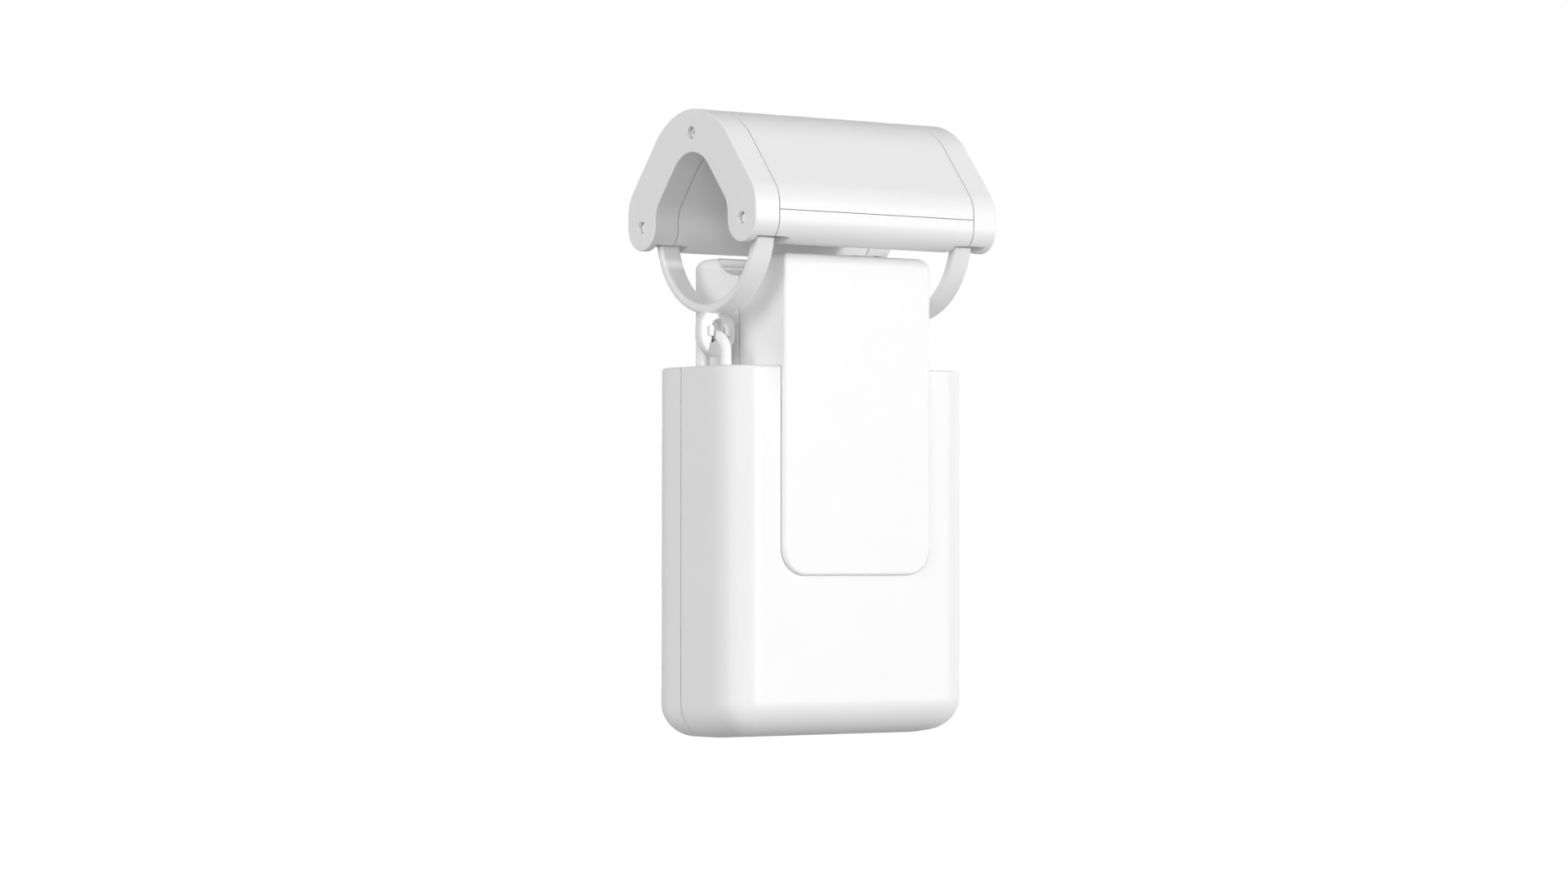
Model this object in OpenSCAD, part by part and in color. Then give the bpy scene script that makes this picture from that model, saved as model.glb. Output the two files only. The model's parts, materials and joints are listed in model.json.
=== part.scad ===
// Curtain robot that hangs from a round rod and drives itself along it.
// Millimetres. Origin on the rod's axis at the middle of the saddle.
// X runs along the rod, Y to the rear, Z up.

/* [Rod] */
// Diameter of the round rod that carries the robot
rod_d = 28; // [27:0.1:29]

/* [Saddle] */
// Length along the rod, end caps included
saddle_l = 87.8; // [86:0.1:96]
// Width across the rod
saddle_w = 62.6; // [61:0.1:68]
// Height of the crown above the rod's axis
crown_z = 31.7; // [31:0.1:34]
// Outer radius of the crown
crown_r = 22.8; // [22:0.1:24]
// Slope of the flanks below the horizontal, in degrees
flank_deg = 51; // [49:0.5:53]
// Radius between flank and upright side
shoulder_r = 10; // [6:0.5:12]
// Height of the channel's roof above the rod's axis
roof_z = 19.2; // [18.5:0.1:20]
// Radius of the channel's roof
roof_r = 10.6; // [10:0.1:11.5]
// Radius between the roof's flanks and the channel's upright walls
channel_r = 8; // [5:0.5:10]
// Radius of the round lower edges
lobe_r = 6.8; // [6.4:0.1:7.2]
// Height of the lower edges' centres against the rod's axis
lobe_z = -1; // [-2:0.1:0]
// Height of the joint line between hood and frame
hood_seam_z = 1.45; // [0.5:0.05:2]
// Wall of the saddle's mouldings
saddle_wall = 2.4; // [2:0.1:2.8]
// Thickness of an end cap along the rod
cap_t = 8.5; // [8:0.1:10]
// Thickness of an end cap's outer face
cap_face_t = 2.5; // [2.2:0.1:3]
// Height of the end cap's screw above the rod's axis
cap_screw_z = 24.9; // [24.8:0.1:25.5]
// Diameter of the holes in the outer faces, for screw heads and strap pins
face_hole_d = 3.5; // [3.2:0.1:4]
// Depth at which screw heads and pin ends lie in those holes
face_hole_deep = 1.3; // [0.8:0.1:1.6]

/* [Rollers] */
// Radius at the waist of a roller
roller_r = 6; // [5:0.1:6.3]
// Width of a roller
roller_w = 14; // [12:0.5:15]
// Radius of a roller's hollow, for the largest rod
roller_hollow_r = 20; // [18:0.5:30]
// Distance of each roller from the middle of the saddle
roller_x = 20; // [17:0.5:20.5]
// Diameter of a roller's axle
roller_axle_d = 3; // [2.5:0.1:3.5]

/* [Straps] */
// Distance of each strap from the middle of the saddle
strap_place = 36; // [35.5:0.1:36.5]
// Width of a strap along the rod
strap_w = 7; // [6:0.1:7.5]
// Thickness of a strap
strap_t = 2.8; // [2.4:0.1:3.2]
// Rounding of a strap's edges
strap_edge_r = 1; // [0.5:0.1:1.1]
// Radius of the eye round each strap pin
strap_eye_r = 4.4; // [4:0.1:4.6]
// Shift of the strap's ring to the front
strap_y = -1; // [-1.2:0.1:0]
// Reach of the slot that a strap enters by, from the strap towards the middle
strap_slot_in = 5.7; // [4.5:0.1:6.4]
// Half width of that slot
strap_slot_half = 4.4; // [4.2:0.1:4.6]

/* [Eyelets] */
// Width of an eyelet
eyelet_w = 12.3; // [11:0.1:13]
// Thickness of an eyelet
eyelet_t = 3.6; // [3:0.1:4]
// Depth of an eyelet below its strap
eyelet_drop = 12.3; // [12:0.1:14]
// Height of the rim below the hole
eyelet_rim = 3.9; // [3:0.1:4.4]
// Width of the hole
eyelet_hole_w = 4.6; // [4:0.1:4.8]
// Height of the hole
eyelet_hole_h = 6.9; // [6.4:0.1:7.2]
// Width over both guide lugs beside the hole
lug_span = 7.2; // [6.8:0.1:8.4]
// Height of a guide lug
lug_h = 3.1; // [2.5:0.1:3.6]
// How far a guide lug stands out to the front
lug_out = 1; // [0.6:0.1:1.4]

/* [Bails] */
// Diameter of a bail's wire
bail_d = 3.1; // [2.6:0.1:3.4]
// Distance between the legs of a bail
bail_span = 10.8; // [10.2:0.1:12]
// Clearance between a bail and the rim that carries it
bail_gap = 0.3; // [0.3:0.05:0.6]
// Height of a bail's straight legs above the housing
bail_show = 3.7; // [3.2:0.1:5]
// Size of an anchor block along the rod
anchor_l = 10; // [8:0.5:10.5]
// Height of an anchor block
anchor_h = 10; // [8:0.5:11]

/* [Housing] */
// Width of the housing
housing_w = 87.5; // [87:0.1:92]
// Depth of the housing
housing_d = 40.8; // [40.4:0.1:42]
// Height of the housing
housing_h = 106.4; // [105:0.1:110]
// Radius of the upright and the lower edges
edge_r = 9.8; // [7:0.1:11]
// Wall of both shells
housing_wall = 2.2; // [2:0.1:2.4]
// Place of the joint line between front shell and rear cover
seam_y = 5; // [4:0.1:5.5]
// Outer radius of the screw bosses
boss_r = 3.2; // [3:0.1:3.4]

/* [Drive head] */
// Width of the drive head
head_w = 53.3; // [52:0.1:54]
// Depth of the drive head
head_d = 43.7; // [43.4:0.1:45]
// Height of the head's cheeks above the underside of the rod
head_rise = 4.3; // [3.5:0.1:4.6]
// Rounding of the head's upper edges
head_edge_r = 3; // [2:0.1:3.5]
// Wall of the head's shells
head_wall = 2.2; // [2:0.1:2.4]
// Radius of the hollow that the rod lies in
cradle_r = 15.5; // [15:0.1:16]
// Length of the front tongue below the top of the housing
tongue_l = 59.9; // [55:0.1:65]
// Radius of the tongue's lower corners
tongue_r = 8; // [5:0.5:10]
// Length of the rear skirt below the top of the housing
skirt_l = 23.9; // [22:0.1:28]
// Depth of the head's side walls inside the housing
head_sink = 9.9; // [9:0.1:11]
// Stroke of the head against its springs
head_stroke = 8; // [6:0.5:8.5]
// Sliding clearance between head and housing
head_gap = 0.35; // [0.3:0.05:0.5]

/* [Drive wheel] */
// Radius of the drive wheel at its waist
wheel_r = 12.5; // [12:0.1:12.8]
// Width of the tyre
tyre_w = 12; // [10:0.5:12]
// Thickness of the tyre at its waist
tyre_t = 3; // [2.5:0.1:4]
// Radius of the tyre's hollow
tyre_hollow_r = 18; // [18:0.5:24]
// Diameter of the wheel's axle
wheel_axle_d = 4; // [3:0.1:5]
// Running clearance of axles in their bores
run_gap = 0.04; // [0.02:0.01:0.08]

/* [Gear train] */
// Gear module
gear_m = 0.8; // [0.78:0.01:0.82]
// Teeth of the wheel's gear
wheel_teeth = 24; // [22:1:24]
// Teeth of the idler's small gear
idler_small_teeth = 12; // [12:1:13]
// Teeth of the idler's large gear
idler_large_teeth = 26; // [24:1:26]
// Teeth of the motor's pinion
pinion_teeth = 10; // [10:1:11]
// Width of the wheel's gear
wheel_gear_w = 3.2; // [2.5:0.1:3.4]
// Width of the idler's large gear
idler_gear_w = 2.6; // [2:0.1:3]
// Clearance between the sides of gears and their plates
side_gap = 0.4; // [0.35:0.05:0.5]
// Play between meshing teeth
backlash = 0.14; // [0.1:0.01:0.18]
// Thickness of the frame's plates
plate_t = 1.6; // [1.4:0.1:1.8]
// Outer radius of the columns between the plates
column_r = 2.8; // [2.4:0.1:2.9]
// Diameter of the motor
motor_d = 24; // [22:0.1:24.5]
// Length of the motor
motor_l = 22; // [18:0.5:23]
// Diameter of the motor's shaft
motor_shaft_d = 2.5; // [2:0.1:2.8]

/* [Springs] */
// Length of a lift spring at rest
spring_l = 20; // [18:0.5:22]
// Mean radius of a lift spring
spring_r = 3.4; // [3:0.1:3.8]
// Wire diameter of a lift spring
spring_wire_d = 0.9; // [0.7:0.05:1]
// Turns of a lift spring
spring_turns = 7; // [5:1:9]
// Shank diameter of the guide bolts
bolt_d = 3; // [2.5:0.1:3.4]
// Head diameter of the guide bolts
bolt_head_d = 5.6; // [5:0.1:6]
// Thickness of the shelf under the springs
shelf_t = 3; // [2.5:0.1:4]

/* [Battery] */
// Diameter of a cell
cell_d = 18.4; // [18:0.1:18.6]
// Length of a cell
cell_l = 65.2; // [64:0.1:67]
// Depth of the cells' tops below the top of the housing
cell_inset = 23.9; // [23:0.1:25]
// Clearance of a cell to the housing's side
cell_gap = 1.35; // [1:0.05:1.6]
// Thickness of the carrier's web
web_t = 1.6; // [1.4:0.1:2]
// Thickness of a contact
contact_t = 0.4; // [0.3:0.1:0.6]

/* [Electronics] */
// Width of the circuit board
board_w = 41; // [38:0.5:42]
// Height of the circuit board
board_h = 40; // [36:0.5:42]
// Thickness of the circuit board
board_t = 1.6; // [1.2:0.1:1.8]
// Diameter of the button
button_d = 8; // [6:0.1:10]
// Travel of the button
button_travel = 0.6; // [0.4:0.1:0.7]
// Height of the button above the housing's underside
button_h = 25.6; // [24:0.1:28]
// Distance of the light pipe from the button
light_x = 10; // [9:0.1:12]
// Diameter of the light pipe
light_d = 3; // [2:0.1:3.5]

/* [Hidden] */
$fn = 64;

// Colours
white = [0.93, 0.93, 0.93];
grey = [0.35, 0.36, 0.38];
dark = [0.12, 0.12, 0.13];
steel = [0.72, 0.73, 0.75];
brass = [0.80, 0.66, 0.35];
green = [0.10, 0.35, 0.22];
sleeve = [0.20, 0.42, 0.66];

// Overrun of cuts past the faces they open
cut = 1;
// Clearance round pressed and screwed pieces
fit = 0.02;
// Clearance between pieces that never touch
clear = 0.4;
// Overlap by which arcs join the straight lines they touch
lap = 0.002;

// Saddle
rod_r = rod_d / 2;
crown_c = crown_z - crown_r;
roof_c = roof_z - roof_r;
lobe_y = saddle_w / 2 - lobe_r;
channel_half = lobe_y - lobe_r;
saddle_end = saddle_l / 2;
seam_x = saddle_end - cap_t;
face_hole_r = face_hole_d / 2;
screw_head_h = 1.6;
screw_shank_r = 1;
screw_l = 12;
cap_boss_l = 7;
anchor_edge = 1.6;
strap_x = min(strap_place, saddle_end - cap_face_t - strap_w / 2 - clear,
    housing_w / 2 - housing_wall - bail_d / 2 - anchor_edge);
pin_in = strap_x - strap_slot_in - 2.2;
pocket_r = strap_eye_r + 0.8;

// Rollers
roller_z = rod_r + roller_r;
roller_end_r = roller_r + roller_hollow_r - sqrt(pow(roller_hollow_r, 2) - pow(roller_w / 2, 2));
cheek_in = roller_w / 2 + clear;
cheek_out = cheek_in + saddle_wall;
cheek_half = roller_axle_d / 2 + 3;
roller_window = roller_end_r + clear;

// Straps, eyelets and bails
strap_low = lobe_z - lobe_y - strap_t / 2;
eyelet_low = strap_low - eyelet_drop;
rim_z = eyelet_low + eyelet_rim;
lug_z = rim_z + eyelet_hole_h / 2;
bail_r = bail_span / 2;
bail_in_r = bail_r - bail_d / 2;
bail_z = rim_z + bail_gap - sqrt(pow(bail_in_r, 2) - pow(eyelet_t / 2, 2));

// Housing
top_z = bail_z - bail_show;
bottom_z = top_z - housing_h;
inner_top = top_z - housing_wall;
inner_y = housing_d / 2 - housing_wall;
anchor_low = inner_top - anchor_h;
anchor_half_d = bail_r + bail_d / 2 + 2.5;
boss_high_z = anchor_low - boss_r - 2;
boss_high_x = strap_x - 3;
boss_low_z = bottom_z + housing_wall + boss_r + 2.2;
boss_low_x = board_w / 2 + boss_r + 1.3;
case_head_r = 2.2;
case_screw_r = 1.1;
case_head_y = housing_d / 2 - 3.4;
case_grip = 11;
case_screw_tip = seam_y - case_grip;

// Drive head
head_top = head_rise - rod_r;
head_low = top_z - head_sink;
tongue_low = top_z - tongue_l;
skirt_low = top_z - skirt_l;
tongue_back = -housing_d / 2 - 0.3;
notch_half = head_w / 2 + head_gap;
notch_low = head_low - head_stroke - cut;
liner_t = 1.6;
anchor_in = max(strap_x - anchor_l / 2, notch_half + liner_t + clear);
anchor_out = min(strap_x + anchor_l / 2, housing_w / 2 - housing_wall - clear);
cradle_wall = 1.6;
wheel_slot_y = tyre_w / 2 + 0.6;

// Gear train, in line below the rod
axle_z = -rod_r - wheel_r;
idler_z = axle_z - gear_m * (wheel_teeth + idler_small_teeth) / 2;
motor_z = idler_z - gear_m * (idler_large_teeth + pinion_teeth) / 2;
tyre_end_r = wheel_r + tyre_hollow_r - sqrt(pow(tyre_hollow_r, 2) - pow(tyre_w / 2, 2));
plate_in = tyre_w / 2 + side_gap;
plate_out = plate_in + plate_t;
gear_y = plate_out + side_gap + 0.2;
large_y = gear_y + wheel_gear_w + side_gap;
cover_y = large_y + idler_gear_w + side_gap;
cover_out = cover_y + plate_t;
addendum_small = 1;
addendum_large = 0.65;
tooth_clear = 0.25;
pressure_deg = 20;
bush_r = wheel_axle_d / 2 + 1.5;
idler_axle_r = 1.5;
motor_boss_r = 3;
motor_screw_x = 8.5;
motor_grip = 3;
shaft_socket = 8;
head_grip = 8;

// Cells, frame and springs
frame_gap = 3.45;
frame_half = head_w / 2 - head_wall - frame_gap;
cell_side = 0.8;
cell_room = housing_w / 2 - housing_wall - cell_gap - frame_half - cell_side;
cell_r = min(cell_d, cell_room) / 2;
cell_x = housing_w / 2 - housing_wall - cell_gap - cell_r;
cell_top = top_z - cell_inset;
cell_low = cell_top - cell_l;
frame_drop = 4;
frame_top = axle_z + wheel_r - frame_drop;
frame_web_t = 1.6;
bolt_x = frame_half - frame_web_t - bolt_head_d / 2 - 0.6;
column_x = frame_half - column_r - 1.2;
column_high_z = axle_z + 2.5;
column_low_z = head_low + column_r + 1.2;
foot_drop = 4.7;
foot_top = motor_z - motor_d / 2 - foot_drop;
foot_t = 2;
foot_low = foot_top - foot_t;
bolt_head_h = 2.5;
shelf_top = foot_low - spring_l;
shelf_low = shelf_top - shelf_t;
cover_low = motor_z - gear_m * pinion_teeth / 2 - 2.7;

// Carrier
carrier_front = -cell_d / 2 - 1.4 - web_t;
carrier_back = cell_d / 2;
carrier_end_t = 1.6;
carrier_top = cell_top + contact_t + carrier_end_t;
carrier_low = cell_low - contact_t - carrier_end_t;
carrier_half = cell_x + cell_r;
carrier_notch_half = frame_half + 1;
carrier_notch_low = foot_low - head_stroke - 2;
carrier_screw_x = 16;
carrier_screw_inset = 7;
carrier_screw_z = [shelf_low - carrier_screw_inset, carrier_low + carrier_screw_inset];
post_r = 3;
carrier_grip = 4;
contact_half = 6;

// Electronics
board_y = cell_d / 2 + 2.8;
board_back = board_y + board_t;
board_rise = 4.1;
board_low = bottom_z + board_rise;
board_top = board_low + board_h;
board_screw_x = board_w / 2 - 3;
board_screw_rise = 5.5;
board_screw_drop = 3.5;
board_screw_z = [board_low + board_screw_rise, board_top - board_screw_drop];
board_post_r = 2.4;
board_screw_r = 0.9;
button_z = bottom_z + button_h;
switch_half = 3;
switch_top = board_back + 2;
plunger_r = 1;
plunger_low = board_back + 1.2;
cap_stem_low = switch_top + button_travel + 0.1;
cap_flange_top = inner_y - 0.3;
cap_flange_t = 0.8;
cap_out = housing_d / 2 + 0.4;
button_gap = 0.25;
light_flange_t = 0.8;
usb_w = 8.94;
usb_t = 3.16;
usb_l = 7.35;
usb_y = board_y - usb_t / 2;
usb_low = bottom_z + 0.6;
usb_wall = 0.3;

// Extrusions along X, with 2D x as Y and 2D y as Z, and along Y, with 2D x as X and 2D y as Z

module along_x(x0, x1) {
    translate([x0, 0, 0]) rotate([90, 0, 90]) linear_extrude(x1 - x0) children();
}

module along_y(y0, y1) {
    translate([0, y1, 0]) rotate([90, 0, 0]) linear_extrude(y1 - y0) children();
}

module rod_x(y, z, x0, x1, r) {
    along_x(x0, x1) translate([y, z]) circle(r);
}

module rod_y(x, z, y0, y1, r) {
    along_y(y0, y1) translate([x, z]) circle(r);
}

module rod_z(x, y, z0, z1, r) {
    translate([x, y, z0]) cylinder(h = z1 - z0, r = r);
}

module block(from, to) {
    translate(from) cube(to - from);
}

module left() {
    mirror([1, 0, 0]) children();
}

module round_rect(w, h, r) {
    square([w - 2 * r, h], center = true);
    square([w, h - 2 * r], center = true);
    for (sx = [-1, 1], sy = [-1, 1]) {
        translate([sx * (w / 2 - r), sy * (h / 2 - r)]) circle(r);
    }
}

// Saddle outlines, seen along the rod

module arch(r, c, half, fillet, low) {
    n = [sin(flank_deg), cos(flank_deg)];
    knee = c + (r - n.x * half) / n.y;
    run = fillet * tan((90 - flank_deg) / 2);
    side = [[half, low], [half, knee - run], [half - run * n.y, knee + run * n.x],
        [r * n.x, c + r * n.y]];
    other = [for (i = [3 : -1 : 0]) [-side[i].x, side[i].y]];
    polygon(concat(side, other));
    intersection() {
        translate([0, c]) circle(r + lap);
        translate([-r, c]) square([2 * r, r + cut]);
    }
    for (s = [-1, 1]) {
        translate([s * (half - fillet), knee - run]) intersection() {
            circle(fillet + lap);
            translate([-fillet - cut, -cut]) square([2 * (fillet + cut), fillet + 2 * cut]);
        }
    }
}

module saddle_outline() {
    arch(crown_r, crown_c, saddle_w / 2, shoulder_r, lobe_z);
    for (s = [-1, 1]) {
        translate([s * lobe_y, lobe_z]) circle(lobe_r + lap);
    }
}

module hood_inside() {
    arch(crown_r - saddle_wall, crown_c, saddle_w / 2 - saddle_wall, shoulder_r - saddle_wall,
        lobe_z - cut);
}

module channel_outline() {
    arch(roof_r, roof_c, channel_half, channel_r, lobe_z - lobe_r - cut);
}

module liner_outline() {
    arch(roof_r + saddle_wall, roof_c, channel_half + saddle_wall, channel_r + saddle_wall, lobe_z);
}

module above(z) {
    translate([-saddle_w, z]) square([2 * saddle_w, 2 * saddle_w]);
}

module below(z) {
    translate([-saddle_w, z - 2 * saddle_w]) square([2 * saddle_w, 2 * saddle_w]);
}

// Room for the eye of a strap and the slot below it, on the right-hand side
module strap_pocket() {
    x0 = strap_x - strap_slot_in;
    x1 = saddle_end - cap_face_t;
    for (s = [-1, 1]) {
        rod_x(s * lobe_y, lobe_z, x0, x1, pocket_r);
        block([x0, s * lobe_y - strap_slot_half, lobe_z - lobe_r - cut],
            [x1, s * lobe_y + strap_slot_half, lobe_z]);
        rod_x(s * lobe_y, lobe_z, pin_in - 0.5, saddle_end + cut, face_hole_r);
    }
}

// Saddle pieces

module saddle_hood() {
    color(white) difference() {
        union() {
            along_x(-seam_x, seam_x) intersection() {
                difference() {
                    arch(crown_r, crown_c, saddle_w / 2, shoulder_r, lobe_z);
                    hood_inside();
                }
                above(hood_seam_z);
            }
            for (s = [-1, 1]) {
                x0 = s > 0 ? seam_x - cap_boss_l : -seam_x;
                rod_x(0, cap_screw_z, x0, x0 + cap_boss_l, boss_r);
                block([x0, -saddle_wall / 2, cap_screw_z],
                    [x0 + cap_boss_l, saddle_wall / 2, crown_z - saddle_wall / 2]);
            }
        }
        rod_x(0, cap_screw_z, -seam_x - cut, seam_x + cut, screw_shank_r + fit);
    }
}

module saddle_frame() {
    color(white) difference() {
        union() {
            along_x(-seam_x, seam_x) {
                intersection() {
                    saddle_outline();
                    below(hood_seam_z);
                }
                liner_outline();
            }
            for (sx = [-1, 1], sy = [-1, 1]) {
                block([sx * roller_x - cheek_half, min(sy * cheek_in, sy * cheek_out), roof_c],
                    [sx * roller_x + cheek_half, max(sy * cheek_in, sy * cheek_out),
                        roller_z + cheek_half]);
            }
        }
        along_x(-seam_x - cut, seam_x + cut) channel_outline();
        for (s = [-1, 1]) {
            block([s * roller_x - roller_window, -cheek_in, roof_c],
                [s * roller_x + roller_window, cheek_in, crown_z]);
            rod_y(s * roller_x, roller_z, -cheek_out - cut, cheek_out + cut,
                roller_axle_d / 2 + fit);
        }
        strap_pocket();
        left() strap_pocket();
    }
}

module end_cap() {
    color(white) difference() {
        along_x(seam_x, saddle_end) difference() {
            saddle_outline();
            channel_outline();
        }
        difference() {
            along_x(seam_x - cut, saddle_end - cap_face_t) intersection() {
                difference() {
                    hood_inside();
                    liner_outline();
                }
                above(lobe_z + pocket_r + saddle_wall / 2);
            }
            rod_x(0, cap_screw_z, seam_x - 2 * cut, saddle_end, boss_r);
            along_x(seam_x - 2 * cut, saddle_end) translate([-saddle_wall / 2, cap_screw_z])
                square([saddle_wall, crown_z - cap_screw_z]);
        }
        rod_x(0, cap_screw_z, seam_x - cut, saddle_end + cut, screw_shank_r + fit);
        rod_x(0, cap_screw_z, saddle_end - face_hole_deep - screw_head_h, saddle_end + cut,
            face_hole_r);
        strap_pocket();
    }
}

module end_cap_left() {
    left() end_cap();
}

module end_cap_right() {
    end_cap();
}

module end_cap_screws() {
    color(white) for (s = [-1, 1]) {
        mirror([s < 0 ? 1 : 0, 0, 0]) {
            head = saddle_end - face_hole_deep;
            rod_x(0, cap_screw_z, head - screw_head_h, head, face_hole_r - fit);
            rod_x(0, cap_screw_z, head - screw_head_h - screw_l, head - screw_head_h,
                screw_shank_r);
        }
    }
}

module strap_pins() {
    color(white) for (sx = [-1, 1], sy = [-1, 1]) {
        mirror([sx < 0 ? 1 : 0, 0, 0])
            rod_x(sy * lobe_y, lobe_z, pin_in, saddle_end - face_hole_deep, face_hole_r - fit);
    }
}

module strap() {
    color(white) translate([strap_x, 0, 0]) difference() {
        union() {
            translate([0, strap_y, lobe_z + strap_y]) rotate([0, 90, 0]) rotate([0, 0, -90])
                rotate_extrude(angle = 180, $fn = 96) translate([lobe_y + strap_y, 0])
                    round_rect(strap_t, strap_w, strap_edge_r);
            for (s = [-1, 1]) {
                rod_x(s * lobe_y, lobe_z, -strap_w / 2, strap_w / 2, strap_eye_r);
            }
            along_y(strap_y - eyelet_t / 2, strap_y + eyelet_t / 2) {
                translate([0, eyelet_low + eyelet_w / 2]) circle(eyelet_w / 2);
                translate([-eyelet_w / 2, eyelet_low + eyelet_w / 2])
                    square([eyelet_w, eyelet_drop - eyelet_w + strap_t / 2 + 0.6]);
                translate([0, strap_low + strap_t / 2 + 0.6 - eyelet_w / 2])
                    circle(eyelet_w / 2);
            }
            block([-lug_span / 2, strap_y - eyelet_t / 2 - lug_out, lug_z - lug_h / 2],
                [lug_span / 2, strap_y, lug_z + lug_h / 2]);
        }
        along_y(strap_y - eyelet_t, strap_y + eyelet_t) {
            translate([-eyelet_hole_w / 2, rim_z])
                square([eyelet_hole_w, eyelet_hole_h - eyelet_hole_w / 2]);
            translate([0, rim_z + eyelet_hole_h - eyelet_hole_w / 2]) circle(eyelet_hole_w / 2);
        }
        for (s = [-1, 1]) {
            rod_x(s * lobe_y, lobe_z, -strap_w, strap_w, face_hole_r + fit);
        }
    }
}

module strap_left() {
    left() strap();
}

module strap_right() {
    strap();
}

module roller_axles() {
    color(steel) for (s = [-1, 1]) {
        rod_y(s * roller_x, roller_z, -cheek_out, cheek_out, roller_axle_d / 2);
    }
}

// A wheel with a hollow tread, about the Y axis through x and z
module hollow_tread(x, z, waist, w, hollow, bore) {
    translate([x, 0, z]) rotate([90, 0, 0]) rotate_extrude($fn = 96) difference() {
        translate([bore, -w / 2]) square([waist + hollow - sqrt(pow(hollow, 2) - pow(w / 2, 2)) - bore, w]);
        translate([waist + hollow, 0]) circle(hollow);
    }
}

module roller(x) {
    color(dark) hollow_tread(x, roller_z, roller_r, roller_w, roller_hollow_r,
        roller_axle_d / 2 + run_gap);
}

module roller_left() {
    roller(-roller_x);
}

module roller_right() {
    roller(roller_x);
}

// Housing shells

module housing_block(inset, high) {
    r = edge_r - inset;
    x = housing_w / 2 - edge_r;
    y = housing_d / 2 - edge_r;
    low = bottom_z + edge_r;
    block([-x - r, -y, low], [x + r, y, high]);
    block([-x, -y - r, low], [x, y + r, high]);
    block([-x, -y, low - r], [x, y, high]);
    for (sx = [-1, 1]) {
        rod_y(sx * x, low, -y, y, r);
        rod_x(sx * y, low, -x, x, r);
        for (sy = [-1, 1]) {
            rod_z(sx * x, sy * y, low, high, r);
            translate([sx * x, sy * y, low]) rotate([90, 0, sx * sy * 45]) sphere(r);
        }
    }
}

// Walls of the housing between the planes y0 and y1, open where the drive head slides
module housing_walls(y0, y1) {
    intersection() {
        union() {
            difference() {
                housing_block(0, top_z);
                housing_block(housing_wall, inner_top);
            }
            intersection() {
                housing_block(0, top_z);
                union() {
                    for (s = [-1, 1]) {
                        x0 = s > 0 ? notch_half : -notch_half - liner_t;
                        block([x0, -housing_d, notch_low - liner_t],
                            [x0 + liner_t, housing_d, top_z]);
                        for (p = boss_places()) {
                            rod_y(s * p.x, p.y, -housing_d, housing_d, boss_r);
                        }
                    }
                }
            }
        }
        block([-housing_w, y0, bottom_z - cut], [housing_w, y1, top_z + cut]);
    }
}

function boss_places() = [[boss_high_x, boss_high_z], [boss_low_x, boss_low_z]];

module head_notch() {
    block([-notch_half, -housing_d, notch_low], [notch_half, housing_d, top_z + cut]);
}

module bail_holes() {
    for (sx = [-1, 1], sy = [-1, 1]) {
        rod_z(sx * strap_x, strap_y + sy * bail_r, inner_top - cut, top_z + cut,
            bail_d / 2 + fit);
    }
}

module front_housing() {
    color(white) difference() {
        union() {
            housing_walls(-housing_d, seam_y);
            for (s = [-1, 1], z = carrier_screw_z) {
                rod_y(s * carrier_screw_x, z, -inner_y - housing_wall / 2, carrier_front, post_r);
            }
        }
        head_notch();
        bail_holes();
        for (s = [-1, 1]) {
            for (p = boss_places()) {
                rod_y(s * p.x, p.y, case_screw_tip - cut, seam_y + cut, case_screw_r + fit);
            }
            for (z = carrier_screw_z) {
                rod_y(s * carrier_screw_x, z, -inner_y, carrier_front + cut, case_screw_r + fit);
            }
        }
    }
}

module rear_cover() {
    color(white) difference() {
        union() {
            housing_walls(seam_y, housing_d);
            for (s = [-1, 1], z = board_screw_z) {
                intersection() {
                    housing_block(0, top_z);
                    rod_y(s * board_screw_x, z, board_back, housing_d, board_post_r);
                }
            }
        }
        head_notch();
        bail_holes();
        for (s = [-1, 1]) {
            for (p = boss_places()) {
                rod_y(s * p.x, p.y, seam_y - cut, housing_d, case_screw_r + fit);
                rod_y(s * p.x, p.y, case_head_y, housing_d, case_head_r + fit);
            }
            for (z = board_screw_z) {
                rod_y(s * board_screw_x, z, board_back - cut, inner_y, board_screw_r + fit);
            }
        }
        rod_y(0, button_z, inner_y - cut, housing_d, button_d / 2 + button_gap);
        rod_y(light_x, button_z, inner_y - cut, housing_d, light_d / 2 + fit);
        translate([0, usb_y, bottom_z - cut]) linear_extrude(housing_wall + 2 * cut)
            round_rect(usb_w + 2 * clear, usb_t + 2 * clear, usb_t / 2 + clear - fit);
    }
}

module housing_screws() {
    color(steel) for (s = [-1, 1], p = boss_places()) {
        rod_y(s * p.x, p.y, case_head_y, case_head_y + screw_head_h, case_head_r);
        rod_y(s * p.x, p.y, case_screw_tip, case_head_y, case_screw_r);
    }
}

// Bails

module bail() {
    color(white) {
        translate([strap_x, strap_y, bail_z]) rotate([0, 90, 0]) rotate([0, 0, 90])
            rotate_extrude(angle = 180, $fn = 96) translate([bail_r, 0]) circle(bail_d / 2);
        for (s = [-1, 1]) {
            rod_z(strap_x, strap_y + s * bail_r, anchor_low, bail_z, bail_d / 2);
        }
    }
}

module bail_left() {
    left() bail();
}

module bail_right() {
    bail();
}

module bail_anchor() {
    color(grey) difference() {
        block([anchor_in, strap_y - anchor_half_d, anchor_low],
            [anchor_out, strap_y + anchor_half_d, inner_top]);
        for (s = [-1, 1]) {
            rod_z(strap_x, strap_y + s * bail_r, anchor_low - cut, inner_top + cut,
                bail_d / 2 + fit);
        }
    }
}

module bail_anchor_left() {
    left() bail_anchor();
}

module bail_anchor_right() {
    bail_anchor();
}

// Battery and springs

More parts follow.
